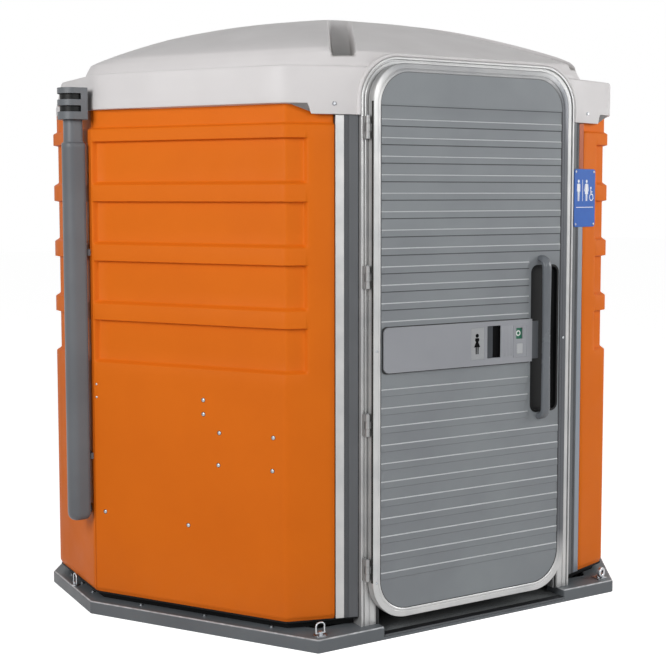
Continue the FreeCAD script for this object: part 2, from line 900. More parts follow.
def front_left_panel():
    """Panel of the front left side with its front wing."""
    length = "(side_long - bend_run - wall_inset * tan(%s / 2))" % END_TURN
    turn = BEND_TURN
    body = new_body("front_left_body")
    points = [("0", "0"), ("%s - seam_gap / 2" % length, "0"),
              ("%s - seam_gap / 2 - wall_thick * tan(%s / 2)" % (length, END_TURN), "-wall_thick"),
              ("wall_thick * tan(%s / 2)" % turn, "-wall_thick"),
              ("-flange_end * cos(%s) + wall_thick * sin(%s)" % (turn, turn),
               "-flange_end * sin(%s) - wall_thick * cos(%s)" % (turn, turn)),
              ("-flange_end * cos(%s)" % turn, "-flange_end * sin(%s)" % turn)]
    add_slab(body, points, "wall_low", "wall_top")
    neck = bent_points("%s + fit_gap" % length, "flange_end + fit_gap", "flange_end + fit_gap", "neck_deep")
    recess = bent_points("%s - recess_edge" % length, "recess_wing_outer", "recess_wing_inner",
                         "recess_deep", "recess_slope")
    finish_panel(body, length, neck, recess)
    x, y = left_wall_point("0", "0")
    return place(body, x, y, "0", "180 - side_angle")


def wall_panels():
    front = node(front_left_panel(), "wall_front_left")
    node(mirror("front_right_body", front, V(1, 0, 0)), "wall_front_right")
    corners = corner_points("wall_inset")
    end_length = "(end_long - 2 * wall_inset * tan(%s / 2))" % END_TURN
    end_recess = strip_points("recess_edge", "%s + fit_gap" % end_length, "recess_deep", "recess_slope")
    end = straight_panel("end_body", end_length, END_TURN, END_TURN, end_recess)
    place(end, negative(corners[1][0]), corners[1][1], "0", "90")
    node(mirror("right_end_body", end, V(1, 0, 0)), "wall_right")
    hole = rod("elbow_hole", "-%s - fit_gap" % WALL_FACE_X, "-elbow_y", "elbow_z",
               "elbow_radius + face_gap", "wall_thick + 2 * fit_gap", "x")
    node(cut("left_end_body", end, hole), "wall_left")
    side_length = "(side_long - wall_inset * tan(%s / 2) - wall_inset * tan(side_angle / 2))" % END_TURN
    side = straight_panel("back_left_body", side_length, END_TURN, "side_angle",
                          strip_points("-fit_gap", "%s - recess_edge" % side_length, "recess_deep", "0",
                                       "recess_slope"))
    place(side, negative(corners[2][0]), corners[2][1], "0", "side_angle")
    node(side, "wall_back_left")
    node(mirror("back_right_body", side, V(1, 0, 0)), "wall_back_right")
    back_length = "(2 * (%s))" % corners[3][0]
    back = straight_panel("back_body", back_length, "side_angle", "side_angle",
                          strip_points("recess_edge", "%s - recess_edge" % back_length, "recess_deep",
                                       "recess_slope", "recess_slope"))
    node(place(back, negative(corners[3][0]), corners[3][1], "0", "0"), "wall_back")


def corner_posts():
    """Bent metal angles inside each corner of the walls."""
    inset = "wall_inset + wall_thick + face_gap"
    band = open_ring(inset, inset + " + corner_post_thick", "frame_half + 2 * frame_wide")
    ring = slab("corner_ring", band, "wall_low", "wall_top")
    rods = []
    for i, (x, y) in enumerate([bend_point(inset)] + corner_points(inset)[1:]):
        for side, sign in (("right", "%s"), ("left", "-(%s)")):
            rods.append(rod("corner_%s_%d" % (side, i), sign % x, y, "wall_low", "corner_post_reach",
                            "wall_top - wall_low"))
    common = DOC.addObject("Part::Common", "corner_angles")
    common.Base = ring
    common.Tool = fuse("corner_reach", *rods)
    hole = rod("post_elbow_hole", "-%s" % WALL_FACE_X, "-elbow_y", "elbow_z", "elbow_radius + face_gap",
               "wall_thick + 3 * corner_post_thick", "x")
    node(cut("corner_posts_body", common, hole), "corner_posts")


# Posts and cover strips beside the door frame, in a frame that runs along the left wing

def wing_place(thing, z="0"):
    x, y = left_wall_point("0", "0")
    return place(thing, x, y, z, "-wing_angle")


def door_posts():
    points = [("strip_start", "strip_rebate"), ("strip_start + strip_wide", "strip_rebate"),
              ("strip_start + strip_wide", "0")]
    ridges = value("ridge_count")
    for i in range(int(ridges)):
        start = "strip_start + strip_wide + ridge_step * %d" % (i + 1)
        points += [(start, "0"), (start, "ridge_wide"), (start + " + ridge_wide", "ridge_wide"),
                   (start + " + ridge_wide", "0")]
    points += [("post_end", "0"), ("post_end - post_thick * tan(wing_angle)", "post_thick"),
               ("strip_start", "post_thick")]
    left = wing_place(slab("post_body", points, "wall_low", "wall_top"))
    node(group("post_pair", left, mirror("post_right", left, V(1, 0, 0))), "door_posts")
    strip = block("strip_body", "strip_start + fit_gap / 2", "strip_rebate - strip_thick", "wall_low",
                  "strip_wide - fit_gap", "strip_thick", "lappet_low - wall_low - fit_gap")
    left_strip = wing_place(group("strip_left", strip))
    node(group("strip_pair", left_strip, mirror("strip_right", left_strip, V(1, 0, 0))), "cover_strips")


# Roof

def dome_height(inset):
    share = "((%s - crease_inset) / (%s - crease_inset))" % (inset, HALF_DEPTH)
    return "(crease_top + dome_rise * (1 - (1 - %s) ^ 1.5))" % share


def roof_corners(front, side, end, back):
    """Right half of an eight-sided outline with its own insets at the front, the slanted front
    side, the end and the back."""
    front_x, front_y = corner_points(front)[0]
    front_x = "(%s - ((%s) - (%s)) / sin(side_angle))" % (front_x, side, front)
    end_x = "(%s - (%s))" % (HALF_WIDTH, end)
    ends = ["(end_long / 2 - (%s) * tan(%s / 2) + ((%s) - (%s)) * tan(side_angle))"
            % (slant, END_TURN, end, slant)
            for slant in (side, back)]
    return [(front_x, front_y), (end_x, negative(ends[0])), (end_x, ends[1]), corner_points(back)[3]]


def skirt_outline(shrink, side, end, back):
    """Outline of the roof's skirt: the wings beside the door at the roof's inset, and the slanted
    front sides, the ends and the back at their own."""
    front = "roof_inset + %s" % shrink
    side, end, back = ("%s + %s" % (inset, shrink) for inset in (side, end, back))
    bend_x, bend_y = bend_point(front)
    drawn = "(((%s) - (%s)) / sin(side_angle - wing_angle))" % (side, front)
    points = [wing_point(front, "frame_half"),
              ("(%s - %s * cos(wing_angle))" % (bend_x, drawn),
               "(%s - %s * sin(wing_angle))" % (bend_y, drawn))]
    points += roof_corners(front, side, end, back)[1:]
    return points + mirrored_half(points)


def roof_solid(name, shrink, sink):
    """Solid of the roof, grown inward by shrink and lowered by sink: the skirt with a shelf all
    round but over the door, then the sloped band and the dome."""
    body = new_body(name)
    low = skirt_outline(shrink, "roof_inset", "skirt_end_low", "skirt_end_low")
    if shrink == "0":
        add_slab(body, low, "skirt_low", "wall_top + flange_thick")
    loft(body, [outline(body, low, "wall_top + flange_thick"),
                outline(body, skirt_outline(shrink, "roof_inset", "skirt_end_top", "skirt_back_top"),
                        "skirt_top - %s" % sink)])
    crease = roof_corners("crease_inset + %s" % shrink, "crease_side + %s" % shrink,
                          "crease_end + %s" % shrink, "crease_back + %s" % shrink)
    band = [("frame_half", crease[0][1])] + crease
    loft(body, [outline(body, skirt_outline(shrink, "shelf_side", "shelf_end", "shelf_back"),
                        "skirt_top - %s" % sink),
                outline(body, band + mirrored_half(band), "crease_top - %s" % sink)])
    rings = [outline(body, crease + mirrored_half(crease), "crease_top - %s" % sink)]
    for step in ("low", "mid", "top"):
        inset = "dome_inset_%s" % step
        insets = [inset] * 4
        if step != "top":
            insets[1:] = ["dome_%s_%s" % (edge, step) for edge in ("side", "end", "back")]
        ring = roof_corners(*("%s + %s" % (inset, shrink) for inset in insets))
        rings.append(outline(body, ring + mirrored_half(ring), "%s - %s" % (dome_height(inset), sink)))
    crown = octagon("dome_inset_top + %s" % shrink, "crown_share")
    rings.append(outline(body, crown, "crown_top - %s" % sink))
    loft(body, rings)
    return body


def roof_channel(name, grow):
    """Groove that runs in from the front edge of the roof towards its middle."""
    sky = "crown_top + channel_wide"
    points = [("-channel_wide", "channel_floor - %s" % grow), ("channel_flat", "channel_floor - %s" % grow),
              ("channel_long + %s" % grow, dome_height("channel_long")),
              ("channel_long + %s" % grow, sky), ("-channel_wide", sky)]
    half = "(channel_wide / 2 + %s)" % grow
    body = slab(name, points, "-" + half, half, "XZ_Plane")
    return place(body, "-channel_x", "-%s + crease_inset" % HALF_DEPTH, "0", "90 - channel_turn")


def roof_shell():
    outer = roof_solid("roof_outer", "0", "0")
    lappet = [wing_point("roof_inset", "frame_half"), wing_point("roof_inset", "lappet_start"),
              wing_point("sill_foot_inset", "lappet_start"), wing_point("sill_foot_inset", "frame_half")]
    add_slab(outer, lappet, "lappet_low", "skirt_low + fit_gap")
    add_slab(outer, mirrored_half(lappet), "lappet_low", "skirt_low + fit_gap")
    inner = roof_solid("roof_inner", "roof_wall", "roof_wall")
    add_slab(inner, cabin_outline("flange_inner_inset", "frame_half - bead_wide"), "wall_top - fit_gap",
             "skirt_top - roof_wall - fit_gap")
    add_slab(inner, skirt_outline("roof_wall", "roof_inset", "skirt_end_low", "skirt_end_low"),
             "lappet_low - fit_gap", "wall_top")
    groove = roof_channel("groove_tool", "0")
    groove_wall = roof_channel("groove_wall_tool", "roof_wall")
    grooved = cut("roof_grooved", outer, groove, mirror("groove_right", groove, V(1, 0, 0)))
    core = cut("roof_core", inner, groove_wall, mirror("groove_wall_right", groove_wall, V(1, 0, 0)))
    shell = cut("roof_hollow", grooved, core)
    bead_half = "(frame_half + bead_wide)"
    bead_top = "(frame_top + bead_wide)"
    bead_front = "(%s - fit_gap)" % FRAME_FRONT
    bead = new_body("roof_bead")
    pad(bead, arch(bead, "-" + bead_half, bead_half, "lappet_low", bead_top, "frame_round + bead_wide",
                   bead_front + " - bead_deep"), "bead_deep")
    collar = new_body("roof_collar")
    pad(collar, arch(collar, "-" + bead_half, bead_half, "lappet_low", bead_top, "frame_round + bead_wide",
                     FRAME_BACK + " + bead_deep"),
        "%s - %s - bead_deep" % (bead_front, FRAME_BACK))
    below = rectangle("-%s - fit_gap" % bead_half, "%s + fit_gap" % bead_half,
                      "-%s + bead_deep" % bead_front, "-%s + bead_deep" % FRAME_BACK)
    cut_slab(collar, below, "lappet_low - fit_gap", "wall_top")
    clear = new_body("frame_clearance")
    clear_half = "(frame_half + face_gap)"
    pad(clear, arch(clear, "-" + clear_half, clear_half, "band_top", "frame_top + face_gap",
                    "frame_round + face_gap", FRAME_BACK + " - frame_deep"), "3 * frame_deep")
    node(cut("roof_body", fuse("roof_joined", shell, bead, collar), clear), "roof_shell")


def roof_bolts():
    """Bolt heads on the lappets beside the door frame."""
    run = "((%s - frame_half - bolt_side) / cos(wing_angle))" % bend_point("wall_inset")[0]
    stand = "(wall_inset - roof_inset)"
    head = stud("roof_bolt_head", run, "-" + stand, "skirt_low", "bolt_head_radius", "bolt_head_tall", "y",
                True)
    left = wing_place(group("roof_bolt_left", head))
    node(group("roof_bolt_pair", left, mirror("roof_bolt_right", left, V(1, 0, 0))), "roof_bolts")


# Door frame, seal and strike

def frame_ring(body, outer_grow, inner_grow, low, back, front):
    """Arch between two outlines that stand off the doorway's edge."""
    half = "(%s + %s)" % (OPENING_HALF, outer_grow)
    pad(body, arch(body, "-" + half, half, low, "%s + %s" % (OPENING_TOP, outer_grow),
                   "%s + %s" % (OPENING_ROUND, outer_grow), back), "(%s) - (%s)" % (front, back))
    inner = "(%s + %s)" % (OPENING_HALF, inner_grow)
    pocket(body, arch(body, "-" + inner, inner, low + " - fit_gap", "%s + %s" % (OPENING_TOP, inner_grow),
                      "%s + %s" % (OPENING_ROUND, inner_grow), back + " - fit_gap"),
           "(%s) - (%s) + 2 * fit_gap" % (front, back))


def door_frame():
    body = new_body("frame_body")
    frame_ring(body, "frame_wide", "0", "ledge_high", FRAME_BACK, FRAME_FRONT)
    grow = "(seal_wide + 3 * fit_gap)"
    half = "(%s + %s)" % (OPENING_HALF, grow)
    pocket(body, arch(body, "-" + half, half, "ledge_high - fit_gap", "%s + %s" % (OPENING_TOP, grow),
                      "%s + %s" % (OPENING_ROUND, grow), FRAME_FRONT + " - seal_step"),
           "seal_step + fit_gap")
    mortise = span_block("bolt_mortise", OPENING_HALF + " - fit_gap", OPENING_HALF + " + bolt_travel",
                         "%s - bolt_front + 2 * fit_gap" % HALF_DEPTH,
                         "%s - bolt_front - bolt_deep - 2 * fit_gap" % HALF_DEPTH,
                         "bolt_low - 2 * fit_gap", "bolt_low + bolt_tall + 2 * fit_gap")
    node(cut("frame_mortised", body, mortise), "door_frame")


def door_seal():
    body = new_body("seal_body")
    frame_ring(body, "seal_wide + fit_gap", "fit_gap", "ledge_high", FRAME_FRONT + " - seal_step",
               DOOR_BACK + " - face_gap")
    node(body, "door_seal")


def strike_plate():
    front = "(%s - bolt_front + strike_side - 2 * fit_gap)" % HALF_DEPTH
    back = "(%s - bolt_front - bolt_deep - strike_side)" % HALF_DEPTH
    plate = span_block("strike_body", OPENING_HALF + " - strike_thick", OPENING_HALF, front, back,
                       "bolt_low - strike_edge", "bolt_low + bolt_tall + strike_edge")
    hole = span_block("strike_hole", OPENING_HALF + " - 2 * strike_thick", OPENING_HALF + " + fit_gap",
                      "%s - bolt_front + fit_gap" % HALF_DEPTH,
                      "%s - bolt_front - bolt_deep - fit_gap" % HALF_DEPTH,
                      "bolt_low - fit_gap", "bolt_low + bolt_tall + fit_gap")
    node(cut("strike_cut", plate, hole), "strike_plate")


# Door

def door_outline(body, inset, round_top, round_low, offset):
    radii = (round_low, round_top, round_top, round_low)
    return rounded(body, "-door_left + %s" % inset, "door_right - %s" % inset, "door_low + %s" % inset,
                   "door_top - %s" % inset, radii, offset)


def door_rim():
    """Light metal channel bent round the door's edge."""
    body = new_body("rim_body")
    pad(body, door_outline(body, "0", "door_round_top", "door_round_low", DOOR_BACK), "door_thick")
    inside = door_outline(body, "rim_wide", "rim_inner_round", "rim_inner_round", DOOR_BACK + " - fit_gap")
    pocket(body, inside, "door_thick + 2 * fit_gap")
    pocket(body, door_outline(body, "rim_wall", "(door_round_top - rim_wall)", "(door_round_low - rim_wall)",
                              DOOR_BACK + " + rim_wall"), "door_thick - 2 * rim_wall")
    node(body, "door_rim")


def door_skins():
    """Ribbed outer skin with its hole for the handle tray, and flat inner skin."""
    body = new_body("outer_skin_body")
    top_round = "(door_round_top - skin_inset)"
    low_round = "(door_round_low - skin_inset)"
    pad(body, door_outline(body, "skin_inset", top_round, low_round, SKIN_FRONT + " - outer_skin_thick"),
        "outer_skin_thick")
    left = "-door_left + rim_wide + rib_end_gap"
    right = "door_right - rim_wide - rib_end_gap"
    for start, step, count in (("rib_low_start", "rib_low_step", "rib_low_count"),
                               ("rib_top_start", "rib_top_step", "rib_top_count")):
        first = add_slab(body, rectangle(left, right, start, start + " + rib_tall"),
                         SKIN_FRONT + " - fit_gap", SKIN_FRONT + " + rib_proud", "XZ_Plane")
        repeat_up(body, first, step, count)
    patch = rectangle("tray_left - 3 * tray_flange", right + " + fit_gap", "handle_low - fit_gap",
                      "handle_top + fit_gap")
    cut_slab(body, patch, SKIN_FRONT, SKIN_FRONT + " + 2 * rib_proud", "XZ_Plane")
    plate_bed = rectangle("-plate_left - fit_gap", "plate_right + fit_gap", "plate_low - fit_gap",
                          "plate_top + fit_gap")
    cut_slab(body, plate_bed, SKIN_FRONT, SKIN_FRONT + " + 2 * rib_proud", "XZ_Plane")
    radii = ("tray_round",) * 4
    pocket(body, rounded(body, "tray_left", "tray_right", "tray_low", "tray_top", radii,
                         SKIN_FRONT + " - outer_skin_thick - fit_gap"), "outer_skin_thick + 2 * fit_gap")
    node(body, "door_outer_skin")
    inner = new_body("inner_skin_body")
    pad(inner, door_outline(inner, "skin_inset", top_round, low_round, INNER_FACE), "inner_skin_thick")
    node(inner, "door_inner_skin")


def lock_plate():
    body = new_body("lock_body")
    radii = ("fit_gap", "fit_gap", "plate_round", "plate_round")
    pad(body, rounded(body, "-plate_left", "plate_right", "plate_low", "plate_top", radii, SKIN_FRONT),
        "plate_thick")
    front = "(%s + plate_thick)" % SKIN_FRONT
    raised = front + " + indicator_proud"
    add_slab(body, rectangle("plate_right - fit_gap", "handle_x - handle_wide / 2 - fit_gap", "block_low",
                             "block_top"), SKIN_FRONT + " + 2 * fit_gap", front, "XZ_Plane")
    add_slab(body, rectangle("indicator_left", "indicator_right", "indicator_low", "indicator_top"),
             front + " - fit_gap", raised, "XZ_Plane")
    inside = rectangle("indicator_left + indicator_border", "indicator_right - indicator_border",
                       "indicator_low + indicator_border", "indicator_top - indicator_border")
    cut_slab(body, inside, front, raised + " + fit_gap", "XZ_Plane")
    cut_slab(body, rectangle("-picture_left", "picture_right", "picture_low", "picture_top"),
             front + " - picture_deep", front + " + fit_gap", "XZ_Plane")
    middle = "(slot_left + slot_right) / 2"
    slope = [("slot_left", "-(%s + fit_gap)" % front), ("slot_right", "-(%s + fit_gap)" % front),
             ("slot_right", "-(%s - slot_deep)" % front), (middle, "-(%s - slot_deep)" % front),
             ("slot_left", "-(%s - fit_gap)" % front)]
    cut_slab(body, slope, "slot_low", "slot_top")
    run_left = "(window_right + fit_gap * 3 - flag_long - fit_gap * 3)"
    run_right = "(window_right + fit_gap * 3 + flag_travel + fit_gap * 3)"
    cut_slab(body, rectangle(run_left, run_right, "window_low - 9 * fit_gap", "window_top + 9 * fit_gap"),
             SKIN_FRONT + " - fit_gap", SKIN_FRONT + " + flag_thick + 2 * flag_run", "XZ_Plane")
    cut_slab(body, rectangle("window_left", "window_right", "window_low", "window_top"),
             SKIN_FRONT, raised + " + fit_gap", "XZ_Plane")
    node(body, "lock_plate")
    insert = span_block("picture_body", "-picture_left + face_gap", "picture_right - face_gap",
                        front + " - fit_gap / 2", front + " - picture_deep", "picture_low + face_gap",
                        "picture_top - face_gap")
    node(insert, "pictogram_insert")
    flag = span_block("flag_body", "window_right + fit_gap * 3 - flag_long", "window_right + fit_gap * 3",
                      SKIN_FRONT + " + flag_run + flag_thick", SKIN_FRONT + " + flag_run",
                      "window_low - 8 * fit_gap", "window_top + 8 * fit_gap")
    node(flag, "indicator_flag")


def handle_tray():
    body = new_body("tray_dish")
    radii = ("tray_round - face_gap",) * 4
    back = SKIN_FRONT + " - tray_deep"
    pad(body, rounded(body, "tray_left + face_gap", "tray_right - face_gap", "tray_low + face_gap",
                      "tray_top - face_gap", radii, back), "tray_deep + tray_flange_thick")
    flange = ("tray_round + tray_flange",) * 4
    pad(body, rounded(body, "tray_left - tray_flange", "tray_right + tray_flange", "tray_low - tray_flange",
                      "tray_top + tray_flange", flange, SKIN_FRONT), "tray_flange_thick")
    inner = ("tray_round - tray_wall",) * 4
    dish = rounded(body, "tray_left + tray_wall", "tray_right - tray_wall", "tray_low + tray_wall",
                   "tray_top - tray_wall", inner, back + " + tray_wall")
    pocket(body, dish, "tray_deep + tray_flange_thick")
    node(body, "handle_tray")


def bow(name, span, reach, radius, profile):
    """Bar bent into a U: span along local X, reach along local Y."""
    body = new_body(name)
    path = arch(body, "0", span, "0", reach, radius, "0", "XY_Plane", closed=False)
    sweep(body, profile(body, span), path)
    return body


def pull_handle():
    """Long bow that stands off the handle tray, both feet on the skin."""
    body = new_body("pull_body")
    span = "(handle_top - handle_low)"
    reach = "(handle_front + rim_wall + skin_gap)"
    side = "-handle_wide / 2"
    pad(body, arch(body, "0", span, "0", reach, "handle_round + handle_thick / 2", side, "XY_Plane"),
        "handle_wide")
    pocket(body, arch(body, "handle_thick", span + " - handle_thick", "-fit_gap", reach + " - handle_thick",
                      "handle_round - handle_thick / 2", side + " - fit_gap", "XY_Plane"),
           "handle_wide + 2 * fit_gap")
    body.Placement.Rotation = FreeCAD.Rotation(V(0, 0, 1), V(0, -1, 0), V(1, 0, 0), "XYZ")
    place(body, "handle_x", "-" + SKIN_FRONT, "handle_low")
    node(body, "pull_handle")


def inner_pull():
    def section(body, start):
        return circles(body, start, "0", ("inner_pull_radius",), "0", "XZ_Plane")

    body = bow("inner_pull_body", "inner_pull_long", "inner_pull_reach", "2.5 * inner_pull_radius", section)
    place(body, "inner_pull_x - inner_pull_long / 2", "-" + INNER_FACE, "inner_pull_z")
    node(body, "inner_pull")


def door_rivets():
    """Heads on the rim: two on the hinge side and one by the handle."""
    left = "-door_left + rim_wide / 2"
    right = "door_right - rim_wide / 2"
    middle = "(plate_low + plate_top) / 2"
    spots = ((left, middle), (left, "door_low + door_round_low"), (right, middle))
    heads = [stud("rim_rivet_%d" % i, x, "-" + DOOR_FRONT, z, "rivet_radius", "rivet_proud", "y", True)
             for i, (x, z) in enumerate(spots)]
    node(group("rim_rivets", *heads), "door_rivets")


# Hinges

def hinge_rows(name, make):
    """The four hinges one above another."""
    count = int(value("hinge_count"))
    return [make("%s_%d" % (name, i), "(hinge_low + hinge_step * %d)" % i) for i in range(count)]


def frame_leaf(name, low):
    forward = HINGE_FORWARD
    back = FRAME_FRONT
    half = "(knuckle_radius + 2 * fit_gap)"
    top = low + " + hinge_tall"
    parts = [span_block(name + "_plate", "%s - %s" % (HINGE_X, half), "%s + knuckle_radius" % HINGE_X,
                        forward + " - knuckle_radius - face_gap", back, low, top)]
    for level, start in (("low", low), ("top", top + " - knuckle_tall")):
        parts.append(span_block(name + "_web_" + level, HINGE_X + " - knuckle_radius + fit_gap",
                                HINGE_X + " + knuckle_radius - fit_gap", forward,
                                forward + " - knuckle_radius - fit_gap", start, start + " + knuckle_tall"))
        parts.append(rod(name + "_knuckle_" + level, HINGE_X, "-" + forward, start, "knuckle_radius",
                         "knuckle_tall"))
    bore = rod(name + "_bore", HINGE_X, "-" + forward, low + " - fit_gap", "pin_radius + pin_play",
               "hinge_tall + 2 * fit_gap")
    return cut(name, fuse(name + "_leaf", *parts), bore)


def door_leaf(name, low):
    forward = HINGE_FORWARD
    start = low + " + knuckle_tall + fit_gap / 2"
    tall = "(hinge_tall - 2 * knuckle_tall - fit_gap)"
    plate = span_block(name + "_plate", HINGE_X, "-door_left", forward + " + knuckle_radius * 0.6",
                       forward + " - knuckle_radius * 0.6", start, "%s + %s" % (start, tall))
    knuckle = rod(name + "_knuckle", HINGE_X, "-" + forward, start, "knuckle_radius", tall)
    bore = rod(name + "_bore", HINGE_X, "-" + forward, start + " - fit_gap", "pin_radius + pin_play",
               tall + " + 2 * fit_gap")
    return cut(name, fuse(name + "_leaf", plate, knuckle), bore)


def hinge_pin(name, low):
    shank = rod(name + "_shank", HINGE_X, "-" + HINGE_FORWARD, low, "pin_radius", "hinge_tall + fit_gap")
    head = rod(name + "_head", HINGE_X, "-" + HINGE_FORWARD, low + " + hinge_tall", "pin_head",
               "2 * fit_gap")
    return fuse(name, shank, head)


def hinges():
    node(group("frame_leaves", *hinge_rows("frame_leaf", frame_leaf)), "hinge_frame_leaves")
    node(group("door_leaves", *hinge_rows("door_leaf", door_leaf)), "hinge_door_leaves")
    node(group("pins", *hinge_rows("pin", hinge_pin)), "hinge_pins")


# Latch

def latch():
    case_back = "(%s - case_deep)" % INNER_FACE
    case = span_block("case_body", "case_left", "case_right", INNER_FACE, case_back, "case_low", "case_top")
    bolt_front = "(%s - bolt_front)" % HALF_DEPTH
    bolt_back = "(%s - bolt_deep)" % bolt_front
    bolt_top = "(bolt_low + bolt_tall)"
    channel = span_block("case_channel", "bolt_left - 8 * fit_gap", "case_right + fit_gap",
                         bolt_front + " + bolt_play", bolt_back + " - bolt_play",
                         "bolt_low - bolt_play", bolt_top + " + bolt_play")
    socket = rod("case_socket", "knob_x", "-" + case_back + " - spindle_long - fit_gap", "knob_z",
                 "spindle_radius + pin_play", "spindle_long + 2 * fit_gap", "y")
    node(cut("case_cut", case, channel, socket), "latch_case")
    bolt = span_block("bolt_body", "bolt_left", "bolt_right", bolt_front, bolt_back, "bolt_low", bolt_top)
    node(bolt, "latch_bolt")
    knob_back = "(%s - bolt_play)" % case_back
    disc = rod("knob_disc", "knob_x", "-" + knob_back, "knob_z", "knob_radius", "knob_thick", "y")
    spindle = rod("knob_spindle", "knob_x", "-" + knob_back + " - spindle_long", "knob_z", "spindle_radius",
                  "spindle_long + fit_gap", "y")
    lever = span_block("knob_lever", "knob_x - lever_long", "knob_x", knob_back, knob_back + " - knob_thick",
                       "knob_z - lever_wide / 2", "knob_z + lever_wide / 2")
    node(fuse("knob_body", disc, spindle, lever), "latch_knob")


# Sign

def sign():
    """Plate on the right wing, made on the left wing and mirrored."""
    plate = new_body("sign_left")
    stand = "(strip_thick - strip_rebate)"
    left = "sign_run - sign_wide / 2"
    right = "sign_run + sign_wide / 2"
    radii = ("sign_round",) * 4
    pad(plate, rounded(plate, left, right, "sign_low", "sign_low + sign_tall", radii, stand), "sign_thick")
    wing_place(plate)
    node(mirror("sign_body", plate, V(1, 0, 0)), "sign_plate")
    heads = []
    for i, x in enumerate((left + " + sign_rivet_inset", right + " - sign_rivet_inset")):
        for j, z in enumerate(("sign_low + sign_rivet_inset", "sign_low + sign_tall - sign_rivet_inset")):
            heads.append(stud("sign_rivet_%d%d" % (i, j), x, "-%s - sign_thick" % stand, z, "rivet_radius",
                              "rivet_proud", "y", True))
    left_heads = wing_place(group("sign_rivets_left", *heads))
    node(mirror("sign_rivets_body", left_heads, V(1, 0, 0)), "sign_rivets")


# Vent duct on the left end: a flat back against the wall and a round front

def duct(name, radius, shrink, low, top):
    """Round duct whose back is flat, a shrink inside the line that stands off the wall."""
    back = "(-%s - vent_gap - %s)" % (WALL_FACE_X, shrink)
    size = "(%s - %s)" % (radius, shrink)
    centre = "(-%s - vent_gap - sleeve_radius)" % WALL_FACE_X
    tall = "(%s) - (%s)" % (top, low)
    flat = block(name + "_flat", centre, "-vent_y - " + size, low, "%s - %s" % (back, centre), "2 * " + size,
                 tall)
    front = rod(name + "_front", centre, "-vent_y", low, size, tall)
    joined = fuse(name + "_joined", flat, front)
    return cut(name, joined, block(name + "_trim", back, "-vent_y - 2 * head_radius", low + " - fit_gap",
                                   "head_radius", "4 * head_radius", tall + " + 2 * fit_gap"))


def vent():
    neck_wall = "(neck_inset + vent_wall)"
    outside = fuse("vent_outside", duct("sleeve", "sleeve_radius", "0", "sleeve_low", "sleeve_top"),
                   duct("vent_neck", "sleeve_radius", "neck_inset", "sleeve_top", "neck_top"),
                   duct("vent_cap", "sleeve_radius", "cap_inset", "cap_low", "sleeve_low"))
    hole = rod("vent_inlet", "-%s - vent_gap - 2 * vent_wall" % WALL_FACE_X, "-elbow_y", "elbow_z",
               "elbow_radius + face_gap", "3 * vent_wall", "x")
    pipe = cut("vent_pipe_body", outside,
               duct("sleeve_bore", "sleeve_radius", "vent_wall", "sleeve_low + vent_wall",
                    "sleeve_top - vent_wall"),
               duct("neck_bore", "sleeve_radius", neck_wall, "sleeve_low + 2 * vent_wall",
                    "neck_top + fit_gap"),
               hole)
    node(pipe, "vent_pipe")
    slots = []
    for i in range(2):
        low = "head_slot_low + head_slot_step * %d" % i
        slots.append(block("head_slot_%d" % i, "-%s - vent_gap - 3 * head_radius" % WALL_FACE_X,
                           "-vent_y - 2 * head_radius", low, "3 * head_radius - head_slot_start",
                           "4 * head_radius", "head_slot_tall"))
    head = cut("vent_head_body", duct("head", "head_radius", "0", "neck_top", "head_top"),
               duct("head_bore", "head_radius", "vent_wall", "neck_top + 2 * vent_wall",
                    "head_top - 2 * vent_wall"),
               duct("head_inlet", "sleeve_radius", neck_wall, "neck_top - fit_gap",
                    "neck_top + 3 * vent_wall"),
               *slots)
    node(head, "vent_head")
    brackets = [block("vent_bracket_%d" % i, "-%s - vent_gap" % WALL_FACE_X, "-vent_y - bracket_wide / 2",
                      "bracket_low + bracket_step * %d" % i, "vent_gap", "bracket_wide", "bracket_tall")
                for i in range(2)]
    node(group("vent_bracket_pair", *brackets), "vent_brackets")
    start = "-%s - vent_gap - 2 * vent_wall" % WALL_FACE_X
    long = "tank_inset - wall_inset + vent_gap + 4 * vent_wall"
    elbow = cut("elbow_body", rod("elbow_outer", start, "-elbow_y", "elbow_z", "elbow_radius", long, "x"),
                rod("elbow_inner", start + " - fit_gap", "-elbow_y", "elbow_z", "elbow_radius - elbow_wall",
                    long + " + 2 * fit_gap", "x"))
    node(elbow, "vent_elbow")


# Tank, seat and lid

def tank_outline(shrink):
    """Plan of the tank: against the left end and both slanted walls beside it."""
    inset = "(tank_inset + %s)" % shrink
    corner = corner_points(inset)[1]
    half = "(tank_half - %s)" % shrink
    side_x = "(%s - (%s + %s) / tan(side_angle))" % (corner[0], half, corner[1])
    front = "(tank_front + %s)" % shrink
    points = [(front, negative(half)), (side_x, negative(half)), corner]
    back = [(x, negative(y)) for x, y in reversed(points)]
    return [(negative(x), y) for x, y in points + back]


def waste_tank():
    body = new_body("tank_body")
    step = "(wall_low + fit_gap)"
    plinth = "(ledge_wide + 2 * fit_gap - tank_inset)"
    add_slab(body, tank_outline("0"), step, "tank_top")
    add_slab(body, tank_outline(plinth), FLOOR_TOP, step)
    cut_slab(body, tank_outline("tank_wall"), step + " + tank_wall", "tank_top - tank_wall")
    cut_slab(body, tank_outline(plinth + " + tank_wall"), FLOOR_TOP + " + tank_wall",
             step + " + tank_wall + fit_gap")
    radii = ("bowl_round",) * 4
    pocket(body, rounded(body, "-bowl_back", "-bowl_front", "-bowl_half", "bowl_half", radii,
                         "tank_top - 2 * tank_wall", "XY_Plane"), "3 * tank_wall")
    hole = rod("tank_vent_hole", "-%s + tank_inset - fit_gap" % HALF_WIDTH, "-elbow_y", "elbow_z",
               "elbow_radius + face_gap", "tank_wall + 2 * fit_gap", "x")
    node(cut("tank_cut", body, hole), "waste_tank")


